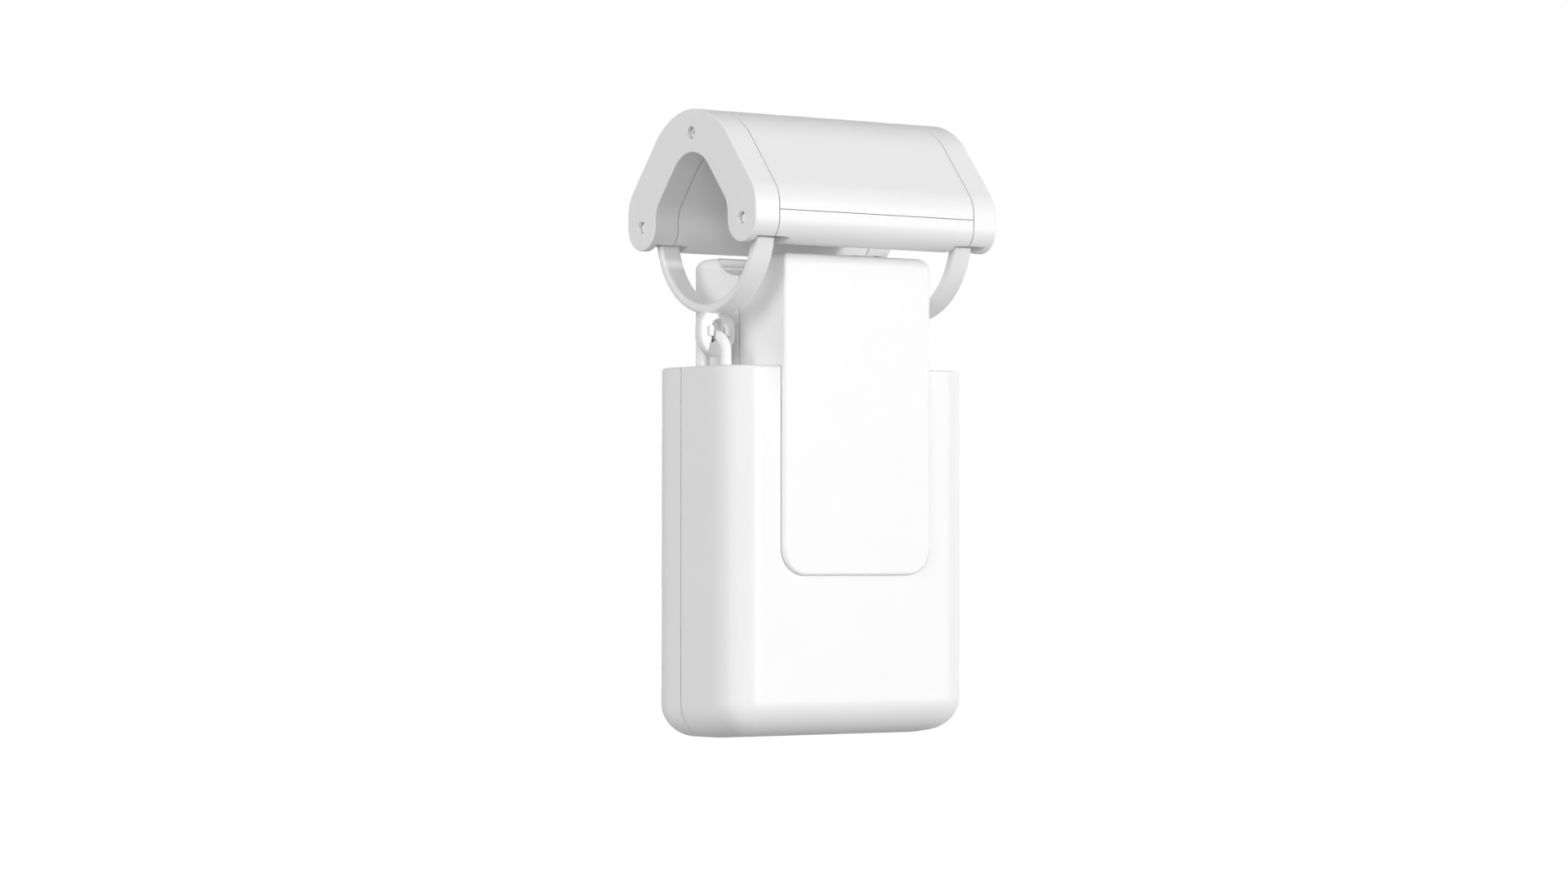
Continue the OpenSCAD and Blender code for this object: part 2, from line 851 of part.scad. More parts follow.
module battery_carrier() {
    color(grey) difference() {
        union() {
            block([-carrier_half, carrier_front, carrier_low],
                [carrier_half, carrier_front + web_t, carrier_top]);
            block([-carrier_half, carrier_front, carrier_low],
                [carrier_half, carrier_back, carrier_low + carrier_end_t]);
            for (s = [-1, 1]) {
                x0 = s > 0 ? carrier_notch_half : -carrier_half;
                block([x0, carrier_front, carrier_top - carrier_end_t],
                    [x0 + carrier_half - carrier_notch_half, carrier_back, carrier_top]);
            }
            block([-frame_half, carrier_front, shelf_low], [frame_half, carrier_back, shelf_top]);
        }
        block([-carrier_notch_half, carrier_front - cut, carrier_notch_low],
            [carrier_notch_half, carrier_front + web_t + cut, carrier_top + cut]);
        for (s = [-1, 1]) {
            rod_z(s * bolt_x, 0, shelf_low - cut, shelf_top + cut, bolt_d / 2 + fit);
            for (z = carrier_screw_z) {
                rod_y(s * carrier_screw_x, z, carrier_front - cut, carrier_front + web_t + cut,
                    case_screw_r + fit);
            }
        }
    }
}

module carrier_screws() {
    back = carrier_front + web_t;
    color(steel) for (s = [-1, 1], z = carrier_screw_z) {
        rod_y(s * carrier_screw_x, z, back, back + screw_head_h, case_head_r);
        rod_y(s * carrier_screw_x, z, carrier_front - carrier_grip, back, case_screw_r);
    }
}

module cell() {
    button_cap_h = 1.2;
    color(sleeve) {
        rod_z(cell_x, 0, cell_low, cell_top - button_cap_h, cell_r);
        rod_z(cell_x, 0, cell_top - button_cap_h, cell_top, cell_r / 2);
    }
}

module battery_left() {
    left() cell();
}

module battery_right() {
    cell();
}

module battery_contacts() {
    color(brass) for (s = [-1, 1], z = [cell_top, cell_low - contact_t]) {
        translate([s * cell_x - contact_half, -contact_half, z])
            cube([2 * contact_half, 2 * contact_half, contact_t]);
    }
}

module guide_bolts() {
    head_low_z = foot_top + 0.3;
    color(steel) for (s = [-1, 1]) {
        rod_z(s * bolt_x, 0, head_low_z, head_low_z + bolt_head_h, bolt_head_d / 2);
        rod_z(s * bolt_x, 0, shelf_low, head_low_z, bolt_d / 2);
    }
}

// Coil as one tube swept along a helix between the shelf and the foot of the frame
spring_sides = 6;
spring_steps = 8 * spring_turns;
spring_rise = spring_l - spring_wire_d - 0.2;

function coil_angle(i) = 360 * spring_turns * i / spring_steps;
function coil_point(i) = [spring_r * cos(coil_angle(i)), spring_r * sin(coil_angle(i)),
    spring_wire_d / 2 + 0.1 + spring_rise * i / spring_steps];
function coil_ring(i) = [for (k = [0 : spring_sides - 1])
    let (q = 360 * k / spring_sides, out = spring_wire_d / 2 * cos(q))
    coil_point(i) + [out * cos(coil_angle(i)), out * sin(coil_angle(i)),
        spring_wire_d / 2 * sin(q)]];
function coil_corner(i, k) = spring_sides * i + k % spring_sides;
coil_points = [for (i = [0 : spring_steps]) each coil_ring(i)];
coil_sides = [for (i = [0 : spring_steps - 1], k = [0 : spring_sides - 1], half = [0, 1])
    half == 0
        ? [coil_corner(i, k), coil_corner(i + 1, k), coil_corner(i + 1, k + 1)]
        : [coil_corner(i, k), coil_corner(i + 1, k + 1), coil_corner(i, k + 1)]];
coil_ends = [for (k = [1 : spring_sides - 2], end = [0, 1])
    end == 0
        ? [coil_corner(0, 0), coil_corner(0, k), coil_corner(0, k + 1)]
        : [coil_corner(spring_steps, 0), coil_corner(spring_steps, k + 1),
            coil_corner(spring_steps, k)]];
coil_gap = min([for (i = [0 : spring_steps], j = [0 : spring_steps])
    if (j - i > spring_steps / spring_turns / 2) norm(coil_point(i) - coil_point(j))]) - spring_wire_d;
echo(coil_gap = coil_gap);

module lift_spring() {
    color(steel) translate([bolt_x, 0, shelf_top])
        polyhedron(coil_points, concat(coil_sides, coil_ends));
}

module lift_spring_left() {
    left() lift_spring();
}

module lift_spring_right() {
    lift_spring();
}

// Electronics

module circuit_board() {
    color(green) difference() {
        block([-board_w / 2, board_y, board_low], [board_w / 2, board_back, board_top]);
        for (s = [-1, 1], z = board_screw_z) {
            rod_y(s * board_screw_x, z, board_y - cut, board_back + cut, board_screw_r + fit);
        }
    }
}

module board_screws() {
    color(steel) for (s = [-1, 1], z = board_screw_z) {
        rod_y(s * board_screw_x, z, board_y - 1.2, board_y, 2 * board_screw_r);
        rod_y(s * board_screw_x, z, board_y, inner_y - 0.6, board_screw_r);
    }
}

module radio_module() {
    half = 8;
    high = 12;
    thick = 2.4;
    color(steel) block([-half, board_back, board_top - 0.5 - high],
        [half, board_back + thick, board_top - 0.5]);
}

module tactile_switch() {
    color(dark) difference() {
        block([-switch_half, board_back, button_z - switch_half],
            [switch_half, switch_top, button_z + switch_half]);
        rod_y(0, button_z, plunger_low - button_travel - 0.3, switch_top + cut,
            plunger_r + run_gap);
    }
}

module switch_plunger() {
    color(dark) rod_y(0, button_z, plunger_low, cap_stem_low, plunger_r);
}

module button_cap() {
    color(white) {
        rod_y(0, button_z, cap_stem_low, cap_flange_top, plunger_r + 0.6);
        rod_y(0, button_z, cap_flange_top - cap_flange_t, cap_flange_top, button_d / 2 + 1.2);
        rod_y(0, button_z, cap_flange_top, cap_out, button_d / 2);
    }
}

module status_led() {
    color(brass) block([light_x - 1, board_back, button_z - 0.6],
        [light_x + 1, board_back + 0.8, button_z + 0.6]);
}

module light_pipe() {
    color(white) {
        rod_y(light_x, button_z, board_back + 1.1, housing_d / 2, light_d / 2);
        rod_y(light_x, button_z, inner_y - light_flange_t, inner_y, light_d / 2 + 0.8);
    }
}

module usb_socket() {
    color(steel) {
        difference() {
            translate([0, usb_y, usb_low]) linear_extrude(usb_l)
                round_rect(usb_w, usb_t, usb_t / 2 - fit);
            translate([0, usb_y, usb_low - cut]) linear_extrude(usb_l - 1 + cut)
                round_rect(usb_w - 2 * usb_wall, usb_t - 2 * usb_wall, usb_t / 2 - usb_wall - fit);
        }
        block([-3.3, usb_y - 0.35, usb_low + 0.6], [3.3, usb_y + 0.35, usb_low + usb_l - 0.5]);
    }
}

// Drive head

module head_side(half, r, low) {
    translate([-half, low]) square([2 * half, head_top - r - low]);
    translate([r - half, low]) square([2 * (half - r), head_top - low]);
    for (s = [-1, 1]) {
        translate([s * (half - r), head_top - r]) circle(r);
    }
}

module head_outer() {
    intersection() {
        along_x(-head_w / 2, head_w / 2) head_side(head_d / 2, head_edge_r, head_low);
        along_y(-head_d, head_d) head_side(head_w / 2, head_edge_r, head_low);
    }
}

module head_shell() {
    difference() {
        head_outer();
        difference() {
            block([head_wall - head_w / 2, head_wall - head_d / 2, head_low - cut],
                [head_w / 2 - head_wall, head_d / 2 - head_wall, head_top - head_wall]);
            rod_x(0, 0, -head_w, head_w, cradle_r + cradle_wall);
        }
        rod_x(0, 0, -head_w, head_w, cradle_r);
        block([-tyre_end_r - clear, -wheel_slot_y, axle_z],
            [tyre_end_r + clear, wheel_slot_y, 0]);
    }
}

module tongue(low, y0, y1) {
    along_y(y0, y1) {
        translate([-head_w / 2, low + tongue_r])
            square([head_w, head_low + cut - low - tongue_r]);
        translate([tongue_r - head_w / 2, low]) square([head_w - 2 * tongue_r, tongue_r + cut]);
        for (s = [-1, 1]) {
            translate([s * (head_w / 2 - tongue_r), low + tongue_r]) circle(tongue_r);
        }
    }
}

module column_places() {
    for (s = [-1, 1], z = [column_high_z, column_low_z]) {
        translate([s * column_x, 0, z]) children();
    }
}

module head_front_shell() {
    color(white) difference() {
        union() {
            intersection() {
                head_shell();
                block([-head_w, -head_d, head_low - cut], [head_w, 0, head_top + cut]);
            }
            tongue(tongue_low, -head_d / 2, tongue_back);
            column_places() rod_y(0, 0, head_wall / 2 - head_d / 2, -plate_out, column_r);
        }
        column_places() rod_y(0, 0, head_wall - head_d / 2, -plate_out + cut, screw_shank_r + fit);
    }
}

module head_rear_shell() {
    color(white) difference() {
        union() {
            intersection() {
                head_shell();
                block([-head_w, 0, head_low - cut], [head_w, head_d, head_top + cut]);
            }
            tongue(skirt_low, -tongue_back, head_d / 2);
            column_places() rod_y(0, 0, cover_out, head_d / 2 - head_wall / 2, column_r);
        }
        column_places() rod_y(0, 0, cover_out - cut, head_d, screw_shank_r + fit);
        column_places() rod_y(0, 0, head_d / 2 - screw_head_h - 0.4, head_d, case_head_r + fit);
    }
}

module head_screws() {
    back = head_d / 2 - 0.4;
    color(steel) column_places() {
        rod_y(0, 0, back - screw_head_h, back, case_head_r);
        rod_y(0, 0, -plate_out - head_grip, back - screw_head_h, screw_shank_r);
    }
}

module gear_frame() {
    color(grey) difference() {
        union() {
            for (y = [-plate_out, plate_in]) {
                block([-frame_half, y, foot_low], [frame_half, y + plate_t, frame_top]);
            }
            for (s = [-1, 1]) {
                x0 = s > 0 ? frame_half - frame_web_t : -frame_half;
                block([x0, -plate_out, foot_low], [x0 + frame_web_t, plate_out, idler_z]);
            }
            block([-frame_half, -plate_out, foot_low], [frame_half, plate_out, foot_top]);
            column_places() rod_y(0, 0, -plate_out, plate_out, column_r);
        }
        column_places() rod_y(0, 0, -plate_out - cut, plate_out + cut, screw_shank_r + fit);
        rod_y(0, axle_z, -plate_out - cut, plate_out + cut, bush_r + fit);
        rod_y(0, idler_z, plate_in - cut, plate_out + cut, idler_axle_r + fit);
        rod_y(0, motor_z, -plate_out - cut, -plate_in + cut, motor_d / 2 + clear);
        rod_y(0, motor_z, plate_in - cut, plate_out + cut, motor_boss_r + fit);
        for (s = [-1, 1]) {
            rod_y(s * motor_screw_x, motor_z, plate_in - cut, plate_out + cut, screw_shank_r + fit);
            rod_z(s * bolt_x, 0, foot_low - cut, foot_top + cut, bolt_d / 2 + run_gap);
        }
    }
}

module gear_cover() {
    color(grey) difference() {
        union() {
            block([-frame_half, cover_y, cover_low], [frame_half, cover_out, frame_top]);
            column_places() rod_y(0, 0, plate_out, cover_out, column_r);
        }
        column_places() rod_y(0, 0, plate_out - cut, cover_out + cut, screw_shank_r + fit);
        rod_y(0, idler_z, cover_y - cut, cover_out + cut, idler_axle_r + fit);
    }
}

module drive_motor() {
    color(steel) difference() {
        union() {
            rod_y(0, motor_z, plate_in - motor_l, plate_in, motor_d / 2);
            rod_y(0, motor_z, plate_in - cut, plate_out, motor_boss_r);
        }
        rod_y(0, motor_z, plate_in - shaft_socket, plate_out + cut, motor_shaft_d / 2 + run_gap);
        for (s = [-1, 1]) {
            rod_y(s * motor_screw_x, motor_z, plate_in - motor_grip - clear, plate_in + cut,
                screw_shank_r + fit);
        }
    }
}

module motor_screws() {
    color(steel) for (s = [-1, 1]) {
        rod_y(s * motor_screw_x, motor_z, plate_out, plate_out + 1.4, 2 * screw_shank_r);
        rod_y(s * motor_screw_x, motor_z, plate_in - motor_grip, plate_out, screw_shank_r);
    }
}

module axle_bushes() {
    color(brass) for (y = [-plate_out, plate_in]) {
        difference() {
            rod_y(0, axle_z, y, y + plate_t, bush_r);
            rod_y(0, axle_z, y - cut, y + plate_t + cut, wheel_axle_d / 2 + run_gap);
        }
    }
}

module idler_axle() {
    color(steel) rod_y(0, idler_z, plate_in, cover_out, idler_axle_r);
}

// Wheel and gears

module wheel_axle() {
    color(steel) rod_y(0, axle_z, -plate_out, gear_y + wheel_gear_w, wheel_axle_d / 2);
}

module wheel_hub() {
    hub_half = tyre_w / 2 - 0.6;
    hub_boss = 1.6;
    hub_rim = 1.8;
    hub_recess = 1.8;
    color(grey) difference() {
        rod_y(0, axle_z, -hub_half, hub_half, wheel_r - tyre_t);
        rod_y(0, axle_z, -tyre_w, tyre_w, wheel_axle_d / 2 + fit);
        for (s = [-1, 1]) {
            translate([0, s * hub_half, axle_z]) rotate([90, 0, 0]) rotate_extrude()
                translate([wheel_axle_d / 2 + hub_boss, -hub_recess])
                    square([wheel_r - tyre_t - wheel_axle_d / 2 - hub_boss - hub_rim,
                        2 * hub_recess]);
        }
    }
}

module wheel_tyre() {
    color(dark) hollow_tread(0, axle_z, wheel_r, tyre_w, tyre_hollow_r, wheel_r - tyre_t + fit);
}

function involute_deg(a) = tan(a) * 180 / PI - a;
function tooth_half_deg(p, r, teeth) =
    let (base = r * cos(pressure_deg), a = p > base ? acos(base / p) : 0)
    90 / teeth - backlash / 4 / r * 180 / PI + involute_deg(pressure_deg) - involute_deg(a);

// Involute gear with a tooth centred at the angle turn
module gear_outline(teeth, addendum, dedendum, turn) {
    r = gear_m * teeth / 2;
    root = r - gear_m * dedendum;
    tip = r + gear_m * addendum;
    low = max(root, r * cos(pressure_deg));
    steps = 5;
    flank = [[root, tooth_half_deg(low, r, teeth)],
        for (i = [0 : steps])
            let (p = low + (tip - low) * i / steps) [p, tooth_half_deg(p, r, teeth)]];
    tooth = concat([for (f = flank) [f[0], -f[1]]],
        [for (i = [len(flank) - 1 : -1 : 0]) flank[i]]);
    polygon([for (k = [0 : teeth - 1], f = tooth)
        f[0] * [cos(turn + 360 * k / teeth + f[1]), sin(turn + 360 * k / teeth + f[1])]]);
}

module large_gear(teeth, turn) {
    gear_outline(teeth, addendum_large, addendum_small + tooth_clear, turn);
}

module small_gear(teeth, turn) {
    gear_outline(teeth, addendum_small, addendum_large + tooth_clear, turn);
}

module wheel_gear() {
    color(white) difference() {
        along_y(gear_y, gear_y + wheel_gear_w) translate([0, axle_z]) large_gear(wheel_teeth, -90);
        rod_y(0, axle_z, gear_y - cut, gear_y + wheel_gear_w + cut, wheel_axle_d / 2 + fit);
    }
}

module idler_gear() {
    color(white) difference() {
        union() {
            along_y(plate_out + side_gap, large_y + fit) translate([0, idler_z])
                small_gear(idler_small_teeth, 90 + 180 / idler_small_teeth);
            along_y(large_y, large_y + idler_gear_w) translate([0, idler_z])
                large_gear(idler_large_teeth, -90);
        }
        rod_y(0, idler_z, plate_out, cover_y, idler_axle_r + run_gap);
    }
}

module motor_shaft() {
    color(steel) rod_y(0, motor_z, plate_in - shaft_socket + clear, large_y + idler_gear_w, motor_shaft_d / 2);
}

module motor_pinion() {
    color(brass) difference() {
        along_y(large_y, large_y + idler_gear_w) translate([0, motor_z])
            small_gear(pinion_teeth, 90 + 180 / pinion_teeth);
        rod_y(0, motor_z, large_y - cut, cover_y, motor_shaft_d / 2 + fit);
    }
}

saddle_hood();
saddle_frame();
end_cap_left();
end_cap_right();
end_cap_screws();
strap_pins();
strap_left();
strap_right();
roller_axles();
roller_left();
roller_right();
front_housing();
rear_cover();
housing_screws();
bail_left();
bail_right();
bail_anchor_left();
bail_anchor_right();
battery_carrier();
carrier_screws();
battery_left();
battery_right();
battery_contacts();
guide_bolts();
lift_spring_left();
lift_spring_right();
circuit_board();
board_screws();
radio_module();
tactile_switch();
switch_plunger();
button_cap();
status_led();
light_pipe();
usb_socket();
head_front_shell();
head_rear_shell();
head_screws();
gear_frame();
gear_cover();
drive_motor();
motor_screws();
axle_bushes();
idler_axle();
wheel_axle();
wheel_hub();
wheel_tyre();
wheel_gear();
idler_gear();
motor_shaft();
motor_pinion();
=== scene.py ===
import json
import math

import bmesh
import bpy
import numpy as np
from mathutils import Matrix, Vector


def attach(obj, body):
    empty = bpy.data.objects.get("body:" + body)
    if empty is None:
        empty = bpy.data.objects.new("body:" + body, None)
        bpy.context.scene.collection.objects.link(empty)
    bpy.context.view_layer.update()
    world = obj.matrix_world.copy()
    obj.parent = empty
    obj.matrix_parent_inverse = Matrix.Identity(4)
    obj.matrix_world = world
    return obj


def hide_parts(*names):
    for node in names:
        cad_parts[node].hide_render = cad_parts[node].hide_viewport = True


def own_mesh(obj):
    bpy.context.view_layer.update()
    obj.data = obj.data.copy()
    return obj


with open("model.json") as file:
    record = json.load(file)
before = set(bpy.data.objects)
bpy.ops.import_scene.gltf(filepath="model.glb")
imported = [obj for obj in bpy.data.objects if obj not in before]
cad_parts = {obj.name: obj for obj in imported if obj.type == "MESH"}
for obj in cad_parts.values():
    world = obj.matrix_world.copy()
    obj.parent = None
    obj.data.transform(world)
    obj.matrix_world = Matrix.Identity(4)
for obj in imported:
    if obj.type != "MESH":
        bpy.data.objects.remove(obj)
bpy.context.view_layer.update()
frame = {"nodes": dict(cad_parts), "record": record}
nodes = frame["nodes"]
mm = 0.001

# camera at the photograph's angle, level with the middle of the housing
view = {"place": (-0.785445, -1.02902, -0.09631), "yaw": 36.9866, "pitch": 1.4813,
        "lens": 101.8125, "sensor": 36.0}
camera = bpy.data.objects.new("camera", bpy.data.cameras.new("camera"))
camera.location = view["place"]
camera.rotation_euler = (math.radians(90 + view["pitch"]), 0, math.radians(-view["yaw"]))
camera.data.sensor_fit = "HORIZONTAL"
camera.data.sensor_width = view["sensor"]
camera.data.lens = view["lens"]
camera.data.clip_start = 0.01
bpy.context.scene.collection.objects.link(camera)
bpy.context.scene.camera = camera
bpy.context.scene.view_settings.view_transform = "Standard"


# node, material and colour helpers

def linear(hexColour):  # sRGB hex to linear RGBA
    c = np.array([int(hexColour[i:i + 2], 16) for i in (1, 3, 5)]) / 255
    return (*np.where(c <= 0.04045, c / 12.92, ((c + 0.055) / 1.055) ** 2.4), 1.0)


def addNode(tree, kind, settings=None, inputs=None, links=None):
    made = tree.nodes.new(kind)
    for key, value in (settings or {}).items():
        setattr(made, key, value)
    for key, value in (inputs or {}).items():
        made.inputs[key].default_value = value
    for key, source in (links or {}).items():
        tree.links.new(source, made.inputs[key])
    return made


def perMetre(sizeMm):  # texture scale for a pattern whose features are sizeMm apart
    return 1 / (sizeMm * mm)


def startMaterial(name, roughness, metallic=0.0, ior=None):
    material = bpy.data.materials.new(name)
    material.use_nodes = True
    tree = material.node_tree
    shader = tree.nodes["Principled BSDF"]
    shader.inputs["Roughness"].default_value = roughness
    shader.inputs["Metallic"].default_value = metallic
    if ior:
        shader.inputs["IOR"].default_value = ior
    place = addNode(tree, "ShaderNodeTexCoord")
    return material, tree, shader, place.outputs["Object"]


def mottled(tree, shader, place, pale, deep, patchMm):  # slow drift between two tones
    noise = addNode(tree, "ShaderNodeTexNoise", inputs={"Scale": perMetre(patchMm), "Detail": 3.0},
                    links={"Vector": place})
    tone = addNode(tree, "ShaderNodeMix", {"data_type": "RGBA"},
                   links={"Factor": noise.outputs["Fac"]})
    tone.inputs[6].default_value = linear(pale)
    tone.inputs[7].default_value = linear(deep)
    tree.links.new(tone.outputs[2], shader.inputs["Base Color"])
    return tone


def grained(tree, shader, place, grainMm, depthMm, strength, spread):  # one grain for bump and roughness
    grain = addNode(tree, "ShaderNodeTexNoise", inputs={"Scale": perMetre(grainMm), "Detail": 2.0},
                    links={"Vector": place})
    bump = addNode(tree, "ShaderNodeBump", inputs={"Strength": strength, "Distance": depthMm * mm},
                   links={"Height": grain.outputs["Fac"]})
    tree.links.new(bump.outputs["Normal"], shader.inputs["Normal"])
    middle = shader.inputs["Roughness"].default_value
    rough = addNode(tree, "ShaderNodeMapRange",
                    inputs={"From Min": 0.3, "From Max": 0.7, "To Min": middle - spread,
                            "To Max": middle + spread},
                    links={"Value": grain.outputs["Fac"]})
    tree.links.new(rough.outputs["Result"], shader.inputs["Roughness"])


# materials, each for what the piece is really made of

def paintedCreaseShade(tree, shader, tone, reachMm, shadeTone):  # painted shade: colour darkened towards a dark tone where a point is closed in, as in joint lines and creases
    closed = addNode(tree, "ShaderNodeAmbientOcclusion", {"samples": 12}, {"Distance": reachMm * mm})
    share = addNode(tree, "ShaderNodeMapRange", inputs={"From Min": 0.62, "From Max": 0.25},
                    links={"Value": closed.outputs["AO"]})
    mixed = addNode(tree, "ShaderNodeMix", {"data_type": "RGBA"},
                    links={"Factor": share.outputs["Result"]})
    tree.links.new(tone.outputs[2], mixed.inputs[6])
    mixed.inputs[7].default_value = linear(shadeTone)
    tree.links.new(mixed.outputs[2], shader.inputs["Base Color"])


def mouldedAbs():  # spark-eroded mould: soft satin white with a fine even grain
    material, tree, shader, place = startMaterial("white ABS, moulded", 0.46, ior=1.53)
    tone = mottled(tree, shader, place, "#F4F4F4", "#F0F0F0", 22)
    # painted shade in the joint lines and creases of the white mouldings
    paintedCreaseShade(tree, shader, tone, 0.5, "#454545")
    grained(tree, shader, place, 0.35, 0.012, 0.22, 0.05)  # real grit is 0.1 mm, drawn coarser to show
    return material


def coatedWire():  # powder coat on steel wire: white with a faint orange peel
    material, tree, shader, place = startMaterial("steel wire, powder coated", 0.36, ior=1.5)
    tone = mottled(tree, shader, place, "#F4F4F4", "#EFEFEF", 6)
    # painted shade where the wire meets or passes close to other parts
    paintedCreaseShade(tree, shader, tone, 1.4, "#555555")
    grained(tree, shader, place, 0.8, 0.03, 0.25, 0.05)
    return material


def filledNylon():  # glass-filled nylon: grey with pale fibre streaks
    material, tree, shader, place = startMaterial("grey nylon, glass filled", 0.55, ior=1.53)
    stretch = addNode(tree, "ShaderNodeMapping", links={"Vector": place})
    stretch.inputs["Scale"].default_value = (1.0, 1.0, 0.15)
    mottled(tree, shader, stretch.outputs["Vector"], "#5C5E62", "#6A6C70", 0.7)
    grained(tree, shader, place, 0.4, 0.02, 0.3, 0.06)
    return material


def mouldedRubber():  # moulded rubber: near black, dull, with a dusty bloom
    material, tree, shader, place = startMaterial("black rubber, moulded", 0.78, ior=1.52)
    mottled(tree, shader, place, "#2A2A2B", "#353536", 3)
    grained(tree, shader, place, 0.5, 0.03, 0.4, 0.08)
    return material


def acetal():  # natural acetal: creamy white, waxy
    material, tree, shader, place = startMaterial("natural acetal, moulded", 0.38, ior=1.48)
    mottled(tree, shader, place, "#EFEDE4", "#E7E4D8", 5)
    grained(tree, shader, place, 0.6, 0.01, 0.15, 0.05)
    return material


def zincSteel():  # zinc plating: pale grey metal with fine turned lines
    material, tree, shader, place = startMaterial("steel, zinc plated", 0.34, metallic=1.0)
    mottled(tree, shader, place, "#C3C6CA", "#B3B7BC", 2)
    grained(tree, shader, place, 0.3, 0.008, 0.25, 0.08)
    return material


def turnedBrass():  # turned brass: warm yellow metal, slightly tarnished
    material, tree, shader, place = startMaterial("brass, turned", 0.3, metallic=1.0)
    mottled(tree, shader, place, "#D3B268", "#BC9A52", 2.5)
    grained(tree, shader, place, 0.3, 0.006, 0.2, 0.08)
    return material


def shrinkSleeve():  # PVC shrink sleeve: glossy blue with slight ripples from the heat
    material, tree, shader, place = startMaterial("blue PVC, shrunk sleeve", 0.28, ior=1.54)
    mottled(tree, shader, place, "#2E6C9E", "#285F8C", 9)
    grained(tree, shader, place, 4.0, 0.05, 0.2, 0.05)
    return material


def solderMask():  # solder mask over etched copper: green, with the tracks showing as paler lines
    material, tree, shader, place = startMaterial("green solder mask on fibreglass", 0.35, ior=1.55)
    turn = addNode(tree, "ShaderNodeMapping", inputs={"Rotation": (math.radians(90), 0, 0)},
                   links={"Vector": place})
    bricks = addNode(tree, "ShaderNodeTexBrick",
                     inputs={"Scale": perMetre(9.0), "Mortar Size": 0.04, "Brick Width": 0.9,
                             "Row Height": 0.3, "Color1": linear("#1D6B42"),
                             "Color2": linear("#1B633D"), "Mortar": linear("#2F8657")},
                     links={"Vector": turn.outputs["Vector"]})
    tree.links.new(bricks.outputs["Color"], shader.inputs["Base Color"])
    grained(tree, shader, place, 0.8, 0.01, 0.15, 0.04)
    return material


def blackAbs():  # switch body: black, satin
    material, tree, shader, place = startMaterial("black ABS, moulded", 0.45, ior=1.53)
    mottled(tree, shader, place, "#1C1C1D", "#262627", 1.5)
    grained(tree, shader, place, 0.3, 0.01, 0.25, 0.05)
    return material


def frostedAcrylic():  # frosted acrylic: milky, lets some light through
    material, tree, shader, place = startMaterial("frosted acrylic, moulded", 0.4, ior=1.49)
    shader.inputs["Transmission Weight"].default_value = 0.35
    mottled(tree, shader, place, "#EDF1F3", "#E3E8EB", 2)
    grained(tree, shader, place, 0.25, 0.01, 0.3, 0.06)
    return material


finish = {"white_plastic": mouldedAbs(), "white_wire": coatedWire(), "grey_plastic": filledNylon(),
          "black_rubber": mouldedRubber(), "gear_plastic": acetal(), "steel": zincSteel(),
          "brass": turnedBrass(), "cell_sleeve": shrinkSleeve(), "board_green": solderMask(),
          "black_plastic": blackAbs(), "clear_plastic": frostedAcrylic()}
slotOf = {row["node"]: row["material_slot"] for row in frame["record"]["subparts"]}
bodyOf = {node: body for body, group in frame["record"]["behaviour"]["bodies"].items() for node in group}
for name, node in nodes.items():
    node.data.materials.clear()
    node.data.materials.append(finish[slotOf[name]])
print("materials on", len(nodes), "CAD nodes")

# pieces

def gridFaces(rows, columns, closed, start):  # quads joined round the columns, the end rows joined or capped
    i, j = np.meshgrid(np.arange(rows - 1 + closed), np.arange(columns), indexing="ij")
    below, beside = (i + 1) % rows, (j + 1) % columns
    quads = np.stack([i * columns + j, i * columns + beside,
                      below * columns + beside, below * columns + j], -1)
    faces = (quads.reshape(-1, 4) + start).tolist()
    if not closed:
        last = start + columns * (rows - 1)
        faces += [list(range(start, start + columns))[::-1], list(range(last, last + columns))]
    return faces


def makePiece(name, node, *shells):  # a shell is a grid of points in mm, and whether its rows close
    points, faces, start = [], [], 0
    for grid, closed in shells:
        faces += gridFaces(grid.shape[0], grid.shape[1], closed, start)
        points.append(grid.reshape(-1, 3))
        start += len(points[-1])
    mesh = bpy.data.meshes.new(name)
    mesh.from_pydata((np.concatenate(points) * mm).tolist(), [], faces)
    made = bmesh.new()
    made.from_mesh(mesh)
    bmesh.ops.remove_doubles(made, verts=made.verts, dist=1e-7)
    bmesh.ops.recalc_face_normals(made, faces=made.faces)
    made.to_mesh(mesh)
    made.free()
    mesh.shade_smooth()
    mesh.set_sharp_from_angle(angle=math.radians(38))
    return placePiece(name, mesh, node)


def placePiece(name, mesh, node):  # in its node's stead, on the same body and slot
    mesh.materials.append(finish[slotOf[node]])
    piece = bpy.data.objects.new(name, mesh)
    bpy.context.scene.collection.objects.link(piece)
    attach(piece, bodyOf[node])
    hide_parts(node)
    return piece


# mouldings: copies of the CAD shells, merged, with their edges rounded as the real mouldings are
near = 0.01  # points this close to a plane lie on it
bendBelow = -137  # only faces under this height are cut into strips


def held(points, rule):  # which points lie in a rule's planes (a number) and spans (a pair)
    inside = np.ones(len(points), bool)
    for axis, key in enumerate("xyz"):
        if key in rule:
            span = rule[key] if isinstance(rule[key], tuple) else (rule[key] - near, rule[key] + near)
            inside &= (points[:, axis] >= span[0]) & (points[:, axis] <= span[1])
    return inside


def skin(points, facing, middle):  # points whose normal leads away from a middle height on the axis
    return (facing * (points - np.array([0, 0, middle]))).sum(1) > 0


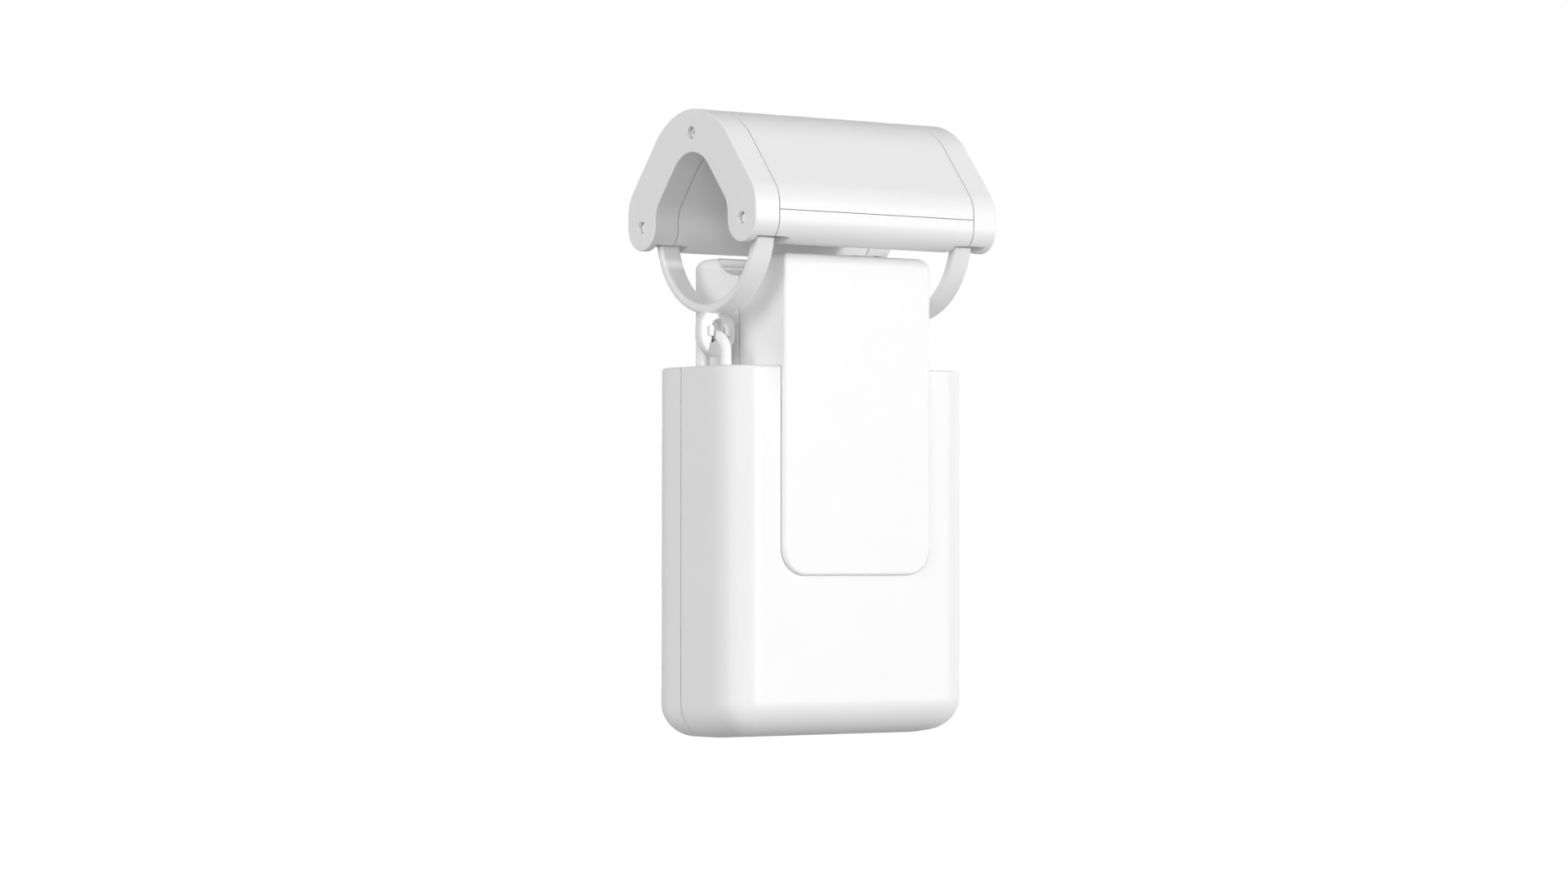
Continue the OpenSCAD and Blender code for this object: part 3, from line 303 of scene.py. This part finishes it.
# an edge whose two ends lie in a rule is rounded by it, and the last such rule counts
def roundedCopy(node, rules, moved=(), joint=None, cuts=(), bend=None):
    made = bmesh.new()
    made.from_mesh(nodes[node].data)
    bmesh.ops.remove_doubles(made, verts=made.verts, dist=2e-6)
    bmesh.ops.dissolve_limit(made, angle_limit=math.radians(0.5), verts=made.verts, edges=made.edges)
    for y in cuts:  # rows of points where the underside is to bend
        low = [face for face in made.faces if max(corner.co.z for corner in face.verts) < bendBelow * mm]
        parts = {part for face in low for part in (*face.verts, *face.edges)}
        bmesh.ops.bisect_plane(made, geom=low + list(parts), dist=1e-6,
                               plane_co=(0, y * mm, 0), plane_no=(0, 1, 0))
    made.normal_update()
    turn = np.degrees([edge.calc_face_angle(0) for edge in made.edges])
    facing = np.array([vertex.normal for vertex in made.verts])
    mesh = bpy.data.meshes.new(node + "_moulding")
    made.to_mesh(mesh)
    made.free()
    ends = np.empty(2 * len(mesh.edges), int)
    mesh.edges.foreach_get("vertices", ends)
    points = np.empty(3 * len(mesh.vertices))
    mesh.vertices.foreach_get("co", points)
    points = points.reshape(-1, 3) / mm
    for axis, old, new in moved:  # walls set back along a joint line, or brought close to what they slide on
        points[abs(points[:, axis] - old) < near, axis] = new
    if joint:  # opened along the outer skin only, so that it stays shut inside
        old, new, middle = joint
        points[skin(points, facing, middle) & (abs(points[:, 1] - old) < near), 1] = new
    width = np.zeros(len(turn))
    for rule in rules:
        width[held(points[ends[0::2]], rule) & held(points[ends[1::2]], rule)] = rule["round"]
    width *= np.clip((turn - 8) / 50, 0, 1)  # fades out where a crease flattens
    widest = width.max()
    weight = mesh.attributes.new("bevel_weight_edge", "FLOAT", "EDGE")
    weight.data.foreach_set("value", width / widest)
    if bend:
        points = bend(points, facing)
    mesh.vertices.foreach_set("co", (points * mm).ravel())
    mesh.shade_smooth()
    sharp = mesh.attributes.new("sharp_edge", "BOOLEAN", "EDGE")
    sharp.data.foreach_set("value", (turn > 35) & (width < 0.05))
    piece = placePiece(node + "_moulding", mesh, node)
    bevel = piece.modifiers.new("round", "BEVEL")
    bevel.limit_method, bevel.width, bevel.segments = "WEIGHT", widest * mm, 3
    bevel.use_clamp_overlap = False
    piece.modifiers.new("shade", "WEIGHTED_NORMAL").keep_sharp = True
    return piece


top, bottom, seam, gapHalf = -42.1033, -148.5033, 5.0, 26.72
crown = {"lobeY": 24.5, "end": 43.9, "seam": 35.4, "split": 1.45}
line = 0.16  # rounding along a joint line
crack, capCrack, slit = 0.16, 0.09, 0.05  # how far each side stands back: shells, end caps, hood over frame

for side, node in ((-1, "end_cap_left"), (1, "end_cap_right")):
    face, joint = side * crown["end"], side * (crown["seam"] + capCrack)
    slot = tuple(sorted((side * 41.5, side * 35.3)))
    caps = [{"x": face, "round": 0.4},
            {"x": slot, "z": (-9, -5.9), "round": 0.25},
            {"x": joint, "round": line},
            {"x": face, "y": (-2.4, 2.4), "z": (22.5, 27.3), "round": 0.3}]
    caps += [{"x": face, "y": (y - 2.4, y + 2.4), "z": (-3.4, 1.4), "round": 0.3}
             for y in (-crown["lobeY"], crown["lobeY"])]
    roundedCopy(node, caps, [(0, side * crown["seam"], joint)])

inner = crown["seam"] - capCrack
back = [(0, side * crown["seam"], side * inner) for side in (-1, 1)]
ends = [{"x": side * inner, "round": line} for side in (-1, 1)]
roundedCopy("saddle_hood", ends + [{"z": crown["split"] + slit, "round": line}],
            back + [(2, crown["split"], crown["split"] + slit)])
slots = [{"x": span, "z": (-9, -5.9), "round": 0.25} for span in ((-35.5, -30), (30, 35.5))]
roundedCopy("saddle_frame", slots + ends + [{"z": crown["split"] - slit, "round": line}],
            back + [(2, crown["split"], crown["split"] - slit)])


housing = {"middle": -95, "run": 16, "depth": (124, 138.7, 148.5), "rise": (0, 0.8, 1.4),
           "cornerX": 33.95, "cornerY": 10.6, "corner": 9.8, "fuller": 0.58}


def settle(points, facing):  # outer skin: the underside rises, rear corners fill out, both by sine squared
    shift = np.zeros_like(points)
    x, y, z = points.T
    outer = skin(points, facing, housing["middle"])
    rise = np.sin(math.pi / 2 * np.clip(-y / housing["run"], 0, 1)) ** 2
    shift[:, 2] = rise * np.interp(-z, housing["depth"], housing["rise"])
    across, deep = np.maximum(abs(x) - housing["cornerX"], 0), np.maximum(y - housing["cornerY"], 0)
    reach = np.hypot(across, deep)
    doubled = 2 * across * deep / np.maximum(reach, 1e-6) ** 2  # sine of twice the angle round the corner
    push = housing["fuller"] * doubled ** 2 * reach / housing["corner"] / math.sqrt(2)
    shift[:, 0] = np.sign(x) * push
    shift[:, 1] = push
    return points + shift * outer[:, None]


strips = np.arange(-19.5, 4.6, 1.5)
bails = [{"z": top, "x": (x - 2.5, x + 2.5), "y": (-9.5, 7.5), "round": 0.25} for x in (-36, 36)]
notch = [{"x": x, "z": (top - 0.1, top + 0.1), "round": 0.3} for x in (-gapHalf, gapHalf)]
tighter = [(0, -27.0, -gapHalf), (0, 27.0, gapHalf)]
rim = [{"z": top, "round": 0.9}]
roundedCopy("front_housing", rim + bails + notch + [{"y": seam - crack, "round": line}],
            tighter, (seam, seam - crack, housing["middle"]), strips, settle)
rearScrews = ((-33, -59.5), (33, -59.5), (-25, -140.9), (25, -140.9))
sunk = [{"x": (x - 2.8, x + 2.8), "y": (18.8, 20.5), "z": (z - 2.8, z + 2.8), "round": 0}
        for x, z in rearScrews]  # these holes run into the rounded corners, so their rims stay sharp
roundedCopy("rear_cover", rim + [{"y": 20.4, "round": 0.3}, {"z": bottom, "round": 0.35}]
            + sunk + bails + notch + [{"y": seam + crack, "round": line}],
            tighter, (seam, seam + crack, housing["middle"]), (), settle)

head = {"crest": (-12.75, -9.65), "face": 21.85, "back": 20.7, "close": 20.45, "edge": 0.8, "middle": -40}
headScrews = [(x, z) for x in (-17, 17) for z in (-24, -48)]
holes = [{"x": (x - 2.8, x + 2.8), "y": head["face"], "z": (z - 2.8, z + 2.8), "round": 0.2}
         for x, z in headScrews]
for side, node, more in ((-1, "head_front_shell", []), (1, "head_rear_shell", holes)):
    roundedCopy(node, [{"z": head["crest"], "round": head["edge"]},
                       {"y": side * head["face"], "round": head["edge"]}]
                + more + [{"y": side * crack, "round": line}],
                [(1, side * head["back"], side * head["close"])], (0, side * crack, head["middle"]))
print("mouldings rounded")


# straps: a half ring with an eye at each end, an eyelet plate below it and two lugs beside the eyelet's hole

def roundedLoop(width, height, corner, steps=6):  # quarter circles about the four corner centres
    turn = np.radians(np.linspace(0, 90, steps)[None] + np.array([[0], [90], [180], [270]]))
    sign = np.array([[1, 1], [-1, 1], [-1, -1], [1, -1]])
    u = sign[:, :1] * (width / 2 - corner) + corner * np.cos(turn)
    v = sign[:, 1:] * (height / 2 - corner) + corner * np.sin(turn)
    return u.ravel(), v.ravel()


def halfRing(x, size):  # rounded section carried along the lower half circle
    u, v = roundedLoop(size["thick"], size["wide"], size["corner"])
    angle = np.radians(np.linspace(183, 357, 88))[:, None]
    out = size["radius"] + u[None]
    return np.stack([np.repeat(x + v[None], len(angle), 0), size["y"] + out * np.cos(angle),
                     size["z"] + out * np.sin(angle)], -1)


def barrel(x, y, z, size):  # rounded section of wall thickness by length carried round the pin
    u, v = roundedLoop(size["eye"] - size["pin"], size["wide"], 0.5)
    angle = np.linspace(0, 2 * math.pi, 72, endpoint=False)
    out = (size["eye"] + size["pin"]) / 2 + u[:, None]
    return np.stack([np.repeat(x + v[:, None], len(angle), 1), y + out * np.cos(angle),
                     z + out * np.sin(angle)], -1)


def eyelet(x, size):  # between a stadium and a round-topped hole, both given by their distance at each angle
    corner = math.atan2(size["hole"], size["floor"])
    even = np.linspace(0, 2 * math.pi, 144, endpoint=False)
    t = np.sort(np.concatenate([even, [math.pi - corner, math.pi + corner]]))
    s, c = abs(np.sin(t)), np.cos(t)
    flat, side = (r / np.maximum(s, 1e-6) for r in (size["rim"], size["hole"]))
    rim = np.where(flat * abs(c) < size["straight"], flat,
                   size["straight"] * abs(c) + np.sqrt(size["rim"] ** 2 - (size["straight"] * s) ** 2))
    arch = np.where(side * c < size["arch"], side,
                    size["arch"] * c + np.sqrt(np.maximum(size["hole"] ** 2 - (size["arch"] * s) ** 2, 0)))
    hole = np.where(c > 0, arch, np.minimum(side, size["floor"] / np.maximum(-c, 1e-6)))
    half, big, small, cut = size["deep"] / 2, size["edge"], size["lip"], size["part"]
    turn = np.radians(np.linspace(0, 90, 7))[:, None]
    back = turn[::-1]
    groove = np.array([0, 0.14, 0.14, 0])[:, None]  # the parting line
    out = np.concatenate([rim - groove, rim - big * (1 - np.cos(turn)), hole + small * (1 - np.sin(turn)),
                          hole + small * (1 - np.sin(back)), rim - big * (1 - np.cos(back))])
    deep = np.concatenate([cut + np.array([-0.12, -0.05, 0.05, 0.12])[:, None],
                           half - big + big * np.sin(turn), half - small + small * np.cos(turn),
                           small - half - small * np.cos(back), big - half - big * np.sin(back)])
    return np.stack([x + out * np.sin(t), np.repeat(size["y"] + deep, len(t), 1), size["mid"] + out * c], -1)


def lug(centre, half, corner):  # corner sphere with its eight parts drawn apart to a rounded block
    quarter = np.radians(np.linspace(0, 90, 5))
    tilt = np.concatenate([-quarter[::-1], quarter])[:, None]
    turn = (quarter[None] + np.radians([[0], [90], [180], [270]])).ravel()[None]
    sign = [np.repeat([1, -1, -1, 1], 5)[None], np.repeat([1, 1, -1, -1], 5)[None],
            np.repeat([-1, 1], 5)[:, None]]
    ball = [np.cos(tilt) * np.cos(turn), np.cos(tilt) * np.sin(turn), np.sin(tilt) + 0 * turn]
    return np.stack([c + corner * b + (h - corner) * s + 0 * ball[0]
                     for c, h, s, b in zip(centre, half, sign, ball)], -1)


strap = {"thick": 2.8, "wide": 7, "corner": 1.1, "radius": 23.5, "y": -1, "z": -2, "eye": 4.4, "pin": 1.77}
plate = {"y": -1, "mid": -32.05, "rim": 6.15, "straight": 1.0, "hole": 2.3, "arch": 1.35, "floor": 3.25,
         "deep": 3.6, "edge": 0.95, "lip": 0.3, "part": 0.3}
for x, node in ((-36, "strap_left"), (36, "strap_right")):
    parts = [(halfRing(x, strap), False), (eyelet(x, plate), True)]
    parts += [(barrel(x, y, -1, strap), True) for y in (-crown["lobeY"], crown["lobeY"])]
    parts += [(lug((x + 2.95 * s, -2.9, -31.85), (0.65, 0.9, 1.55), 0.22), False) for s in (-1, 1)]
    makePiece(node + "_moulding", node, *parts)
print("straps made")


# turned and moulded round pieces: a profile of radius and place, carried round an axis along Y

def ringsRound(centre, radius, along):  # radius: one row a ring, one column an angle
    angle = np.linspace(0, 2 * math.pi, radius.shape[1], endpoint=False)
    return np.stack([centre[0] + radius * np.sin(angle), np.repeat(along[:, None], len(angle), 1),
                     centre[1] + radius * np.cos(angle)], -1)


def tread(name, node, size):  # waist plus the hollow arc's rise, less slanted grooves that fade at the rims
    half, turns = size["width"] / 2, 288
    along = np.concatenate([[-half, -half], np.linspace(-half, half, 33), [half, half]])
    angle = np.linspace(0, 2 * math.pi, turns, endpoint=False)
    rise = size["waist"] + size["hollow"] - np.sqrt(size["hollow"] ** 2 - along ** 2)
    wave = np.cos(size["grooves"] * angle + 2.4 * abs(along[:, None]) / half)
    fade = np.clip((0.88 - abs(along) / half) / 0.12, 0, 1)
    radius = rise[:, None] - size["depth"] * fade[:, None] * np.clip((wave - 0.5) / 0.3, 0, 1)
    radius[[0, -1]] = size["bore"]
    radius[[1, -2]] = rise[0] - 0.5
    return makePiece(name, node, (ringsRound(size["centre"], radius, along), True))


roller = {"waist": 6, "hollow": 20, "width": 14, "bore": 1.55, "grooves": 12, "depth": 0.45}
tread("roller_left_rubber", "roller_left", {**roller, "centre": (-20, 20)})
tread("roller_right_rubber", "roller_right", {**roller, "centre": (20, 20)})
tyre = {"waist": 12.5, "hollow": 18, "width": 12, "bore": 9.52, "grooves": 26, "depth": 0.7}
tread("wheel_tyre_rubber", "wheel_tyre", {**tyre, "centre": (0, -26.5)})


def turned(name, node, centre, profile, turns=96):  # profile of (radius, place along Y), front to rear
    profile = np.array(profile, float)
    radius = np.repeat(profile[:, :1], turns, 1)
    return makePiece(name, node, (ringsRound(centre, radius, profile[:, 1]), False))


controls = bottom + 25.6  # height of button and light pipe
arc = np.radians(np.linspace(0, 90, 8))
dish = np.linspace(3.4, 0.05, 14)
button = [(1.6, 16.3), (1.6, 17.1), (5.2, 17.1), (5.2, 17.9), (4, 17.9), (4, 20.3)]
button += list(zip(3.5 + 0.5 * np.cos(arc), 20.3 + 0.5 * np.sin(arc)))
button += list(zip(dish, 20.8 - 0.35 * (1 - (dish / 3.4) ** 2)))  # finger dish: a shallow paraboloid
turned("button_cap_dished", "button_cap", (0, controls), button)
dome = np.radians(np.linspace(0, 88, 12))
pipe = [(1.5, 14.7), (1.5, 17.4), (2.3, 17.4), (2.3, 18.2), (1.5, 18.2), (1.5, 20.1)]
pipe += list(zip(1.5 * np.cos(dome), 20.1 + 0.3 * np.sin(dome)))  # low dome: an ellipse
turned("light_pipe_domed", "light_pipe", (10, controls), pipe, 48)


spring = {"turns": 7, "radius": 3.4, "wire": 0.45, "low": -93.45, "rise": 18.9, "seat": -94}


def coil(name, node, x, size):  # wire circle carried along a helix whose end turns lie closer
    step = np.linspace(0, 1, 60 * size["turns"] + 1)
    angle = 2 * math.pi * size["turns"] * step
    climb = step - 0.35 * np.sin(2 * math.pi * step) / (2 * math.pi)
    spin = np.linspace(0, 2 * math.pi, 16, endpoint=False)
    out = size["radius"] + size["wire"] * np.cos(spin)[None]
    rings = np.stack([x + out * np.cos(angle)[:, None], out * np.sin(angle)[:, None],
                      (size["low"] + size["rise"] * climb)[:, None] + size["wire"] * np.sin(spin)[None]], -1)
    piece = makePiece(name, node, (rings, False))
    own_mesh(piece)
    return piece


coil("lift_spring_left_wire", "lift_spring_left", -16, spring)
coil("lift_spring_right_wire", "lift_spring_right", 16, spring)
print("round pieces made")


# screws and pins: heights are counted outwards from the face of the head

def screwHead(size, turns=96):  # low dome less a cross whose arms grow shallower outwards
    angle = np.linspace(0, 2 * math.pi, turns, endpoint=False)
    arc = np.radians(np.linspace(0, 90, 5))
    edge, rim, high = 0.25, size["head"], size["high"]
    ring = np.concatenate([[0.05, rim - 0.1, rim], rim - edge * (1 - np.cos(arc)),
                           np.linspace(rim - edge, 0.05, 26)[1:]])
    rise = np.concatenate([[-high, -high, 0.1 - high], -edge * (1 - np.sin(arc)), np.zeros(25)])
    u, v = abs(ring[:, None] * np.cos(angle)), abs(ring[:, None] * np.sin(angle))
    close, far, arm = np.minimum(u, v), np.maximum(u, v), 0.6 * rim
    cross = np.clip((0.2 * rim - close) / 0.12, 0, 1) * np.clip((arm - far) / 0.2, 0, 1)
    cross *= 1 - 0.5 * far / arm
    deep = np.where(rise[:, None] < 0, 0, size.get("cross", 0) * cross)
    return (ring[:, None] * np.cos(angle), ring[:, None] * np.sin(angle),
            np.repeat(rise[:, None], turns, 1) - deep)


def screwShank(size, turns=28):  # radius less a thread groove that winds round with the height
    angle = np.linspace(0, 2 * math.pi, turns, endpoint=False)
    rise = np.arange(0.2 - size["high"], -size["long"], -size["pitch"] / 7)[:, None]
    groove = 0.14 * size["shank"] * (0.5 + 0.5 * np.cos(angle + 2 * math.pi * rise / size["pitch"]))
    out = (size["shank"] - groove) * np.clip((rise + size["long"]) / 1.2, 0.3, 1)
    return out * np.cos(angle), out * np.sin(angle), rise + 0 * out


def screws(node, size):  # each place: two numbers across the axis, the head's face along it, and its way
    parts = []
    for first, second, face, way in size["at"]:
        for a, b, rise in [screwHead(size)] + ([screwShank(size)] if "shank" in size else []):
            grid = [first + a, second + b]
            grid.insert(size["axis"], face + way * rise)
            parts.append((np.stack(grid, -1), False))
    return makePiece(node + "_made", node, *parts)


small = {"high": 1.6, "pitch": 0.8, "cross": 0.9}
screws("housing_screws", {**small, "axis": 1, "head": 2.2, "shank": 1.1, "long": 24.6,
                          "at": [(x, z, 18.6, 1) for x, z in rearScrews]})
screws("head_screws", {**small, "axis": 1, "head": 2.2, "shank": 1.0, "long": 37.45,
                       "at": [(x, z, 21.45, 1) for x, z in headScrews]})
screws("end_cap_screws", {**small, "axis": 0, "head": 1.73, "shank": 1.0, "long": 13.6,
                          "at": [(0, 24.9, 42.6 * side, side) for side in (-1, 1)]})
screws("carrier_screws", {**small, "axis": 1, "head": 2.2, "shank": 1.1, "long": 7.2,
                          "at": [(x, z, -9.0, 1) for x in (-16, 16) for z in (-104, -126.2)]})
screws("board_screws", {**small, "axis": 1, "head": 1.8, "high": 1.2, "cross": 0.7, "shank": 0.9,
                        "long": 6.8, "at": [(x, z, 10.8, -1)
                                            for x in (-17.5, 17.5) for z in (-138.9, -107.9)]})
screws("motor_screws", {**small, "axis": 1, "head": 2.0, "high": 1.4, "cross": 0.8, "shank": 1.0,
                        "long": 6.0, "at": [(x, -55.3, 9.4, 1) for x in (-8.5, 8.5)]})
screws("strap_pins", {"axis": 0, "head": 1.73, "high": 14.5,
                      "at": [(y, -1, 42.6 * side, side)
                             for y in (-crown["lobeY"], crown["lobeY"]) for side in (-1, 1)]})
print("screws and pins made")

# light: crisp key from front right, broad soft boxes left and right, a low one at the rear right
lamps = {"key": {"azimuth": 27, "elevation": 4, "strength": 1.7, "angle": 4},
         "left": {"azimuth": -65, "elevation": 10, "strength": 2.85, "angle": 70},
         "right": {"azimuth": 85, "elevation": 10, "strength": 1.3, "angle": 60},
         "rear": {"azimuth": 152, "elevation": 3, "strength": 1.75, "angle": 30}}
for name, lamp in lamps.items():
    sun = bpy.data.objects.new(name, bpy.data.lights.new(name, "SUN"))
    a, e = math.radians(lamp["azimuth"]), math.radians(lamp["elevation"])
    towards = Vector((math.sin(a) * math.cos(e), -math.cos(a) * math.cos(e), math.sin(e)))
    sun.rotation_euler = towards.to_track_quat("Z", "Y").to_euler()
    sun.data.energy = lamp["strength"]
    sun.data.angle = math.radians(lamp["angle"])
    bpy.context.scene.collection.objects.link(sun)


def byRay(tree, shader, choices):  # another shader for each kind of ray named
    path = addNode(tree, "ShaderNodeLightPath")
    for ray, other in choices:
        mix = addNode(tree, "ShaderNodeMixShader", links={0: path.outputs[ray], 1: shader, 2: other})
        shader = mix.outputs[0]
    return shader


sky = {"level": 0.065, "mirrored": 0.5, "seen": 1.0}
world = bpy.data.worlds.new("studio")
bpy.context.scene.world = world
world.use_nodes = True
tree = world.node_tree
tree.nodes.clear()
glows = [addNode(tree, "ShaderNodeBackground", inputs={"Strength": sky[key], "Color": linear("#FFFFFF")})
         for key in ("level", "mirrored", "seen")]
lit, mirrored, seen = (glow.outputs[0] for glow in glows)
shown = byRay(tree, lit, [("Is Glossy Ray", mirrored), ("Is Transmission Ray", mirrored),
                          ("Is Camera Ray", seen)])
addNode(tree, "ShaderNodeOutputWorld", links={"Surface": shown})

ground = {"z": -320, "half": 6000, "tone": "#D4D4D4", "mirrored": 0.31, "seen": 0.76}
floorMesh = bpy.data.meshes.new("floor")
floorMesh.from_pydata([(x * ground["half"] * mm, y * ground["half"] * mm, ground["z"] * mm)
                       for x, y in ((-1, -1), (1, -1), (1, 1), (-1, 1))], [], [(0, 1, 2, 3)])
floor = bpy.data.objects.new("floor", floorMesh)
bpy.context.scene.collection.objects.link(floor)
paper = bpy.data.materials.new("pale paper sweep")
paper.use_nodes = True
tree = paper.node_tree
tree.nodes.clear()
matt = addNode(tree, "ShaderNodeBsdfDiffuse", inputs={"Color": linear(ground["tone"])}).outputs[0]
glows = [addNode(tree, "ShaderNodeEmission", inputs={"Strength": ground[key]})
         for key in ("mirrored", "seen")]
lifted = [addNode(tree, "ShaderNodeAddShader", links={0: matt, 1: glow.outputs[0]}) for glow in glows]
shown = byRay(tree, matt, [("Is Glossy Ray", lifted[0].outputs[0]), ("Is Camera Ray", lifted[1].outputs[0])])
addNode(tree, "ShaderNodeOutputMaterial", links={"Surface": shown})
floorMesh.materials.append(paper)
print("stage and light set")
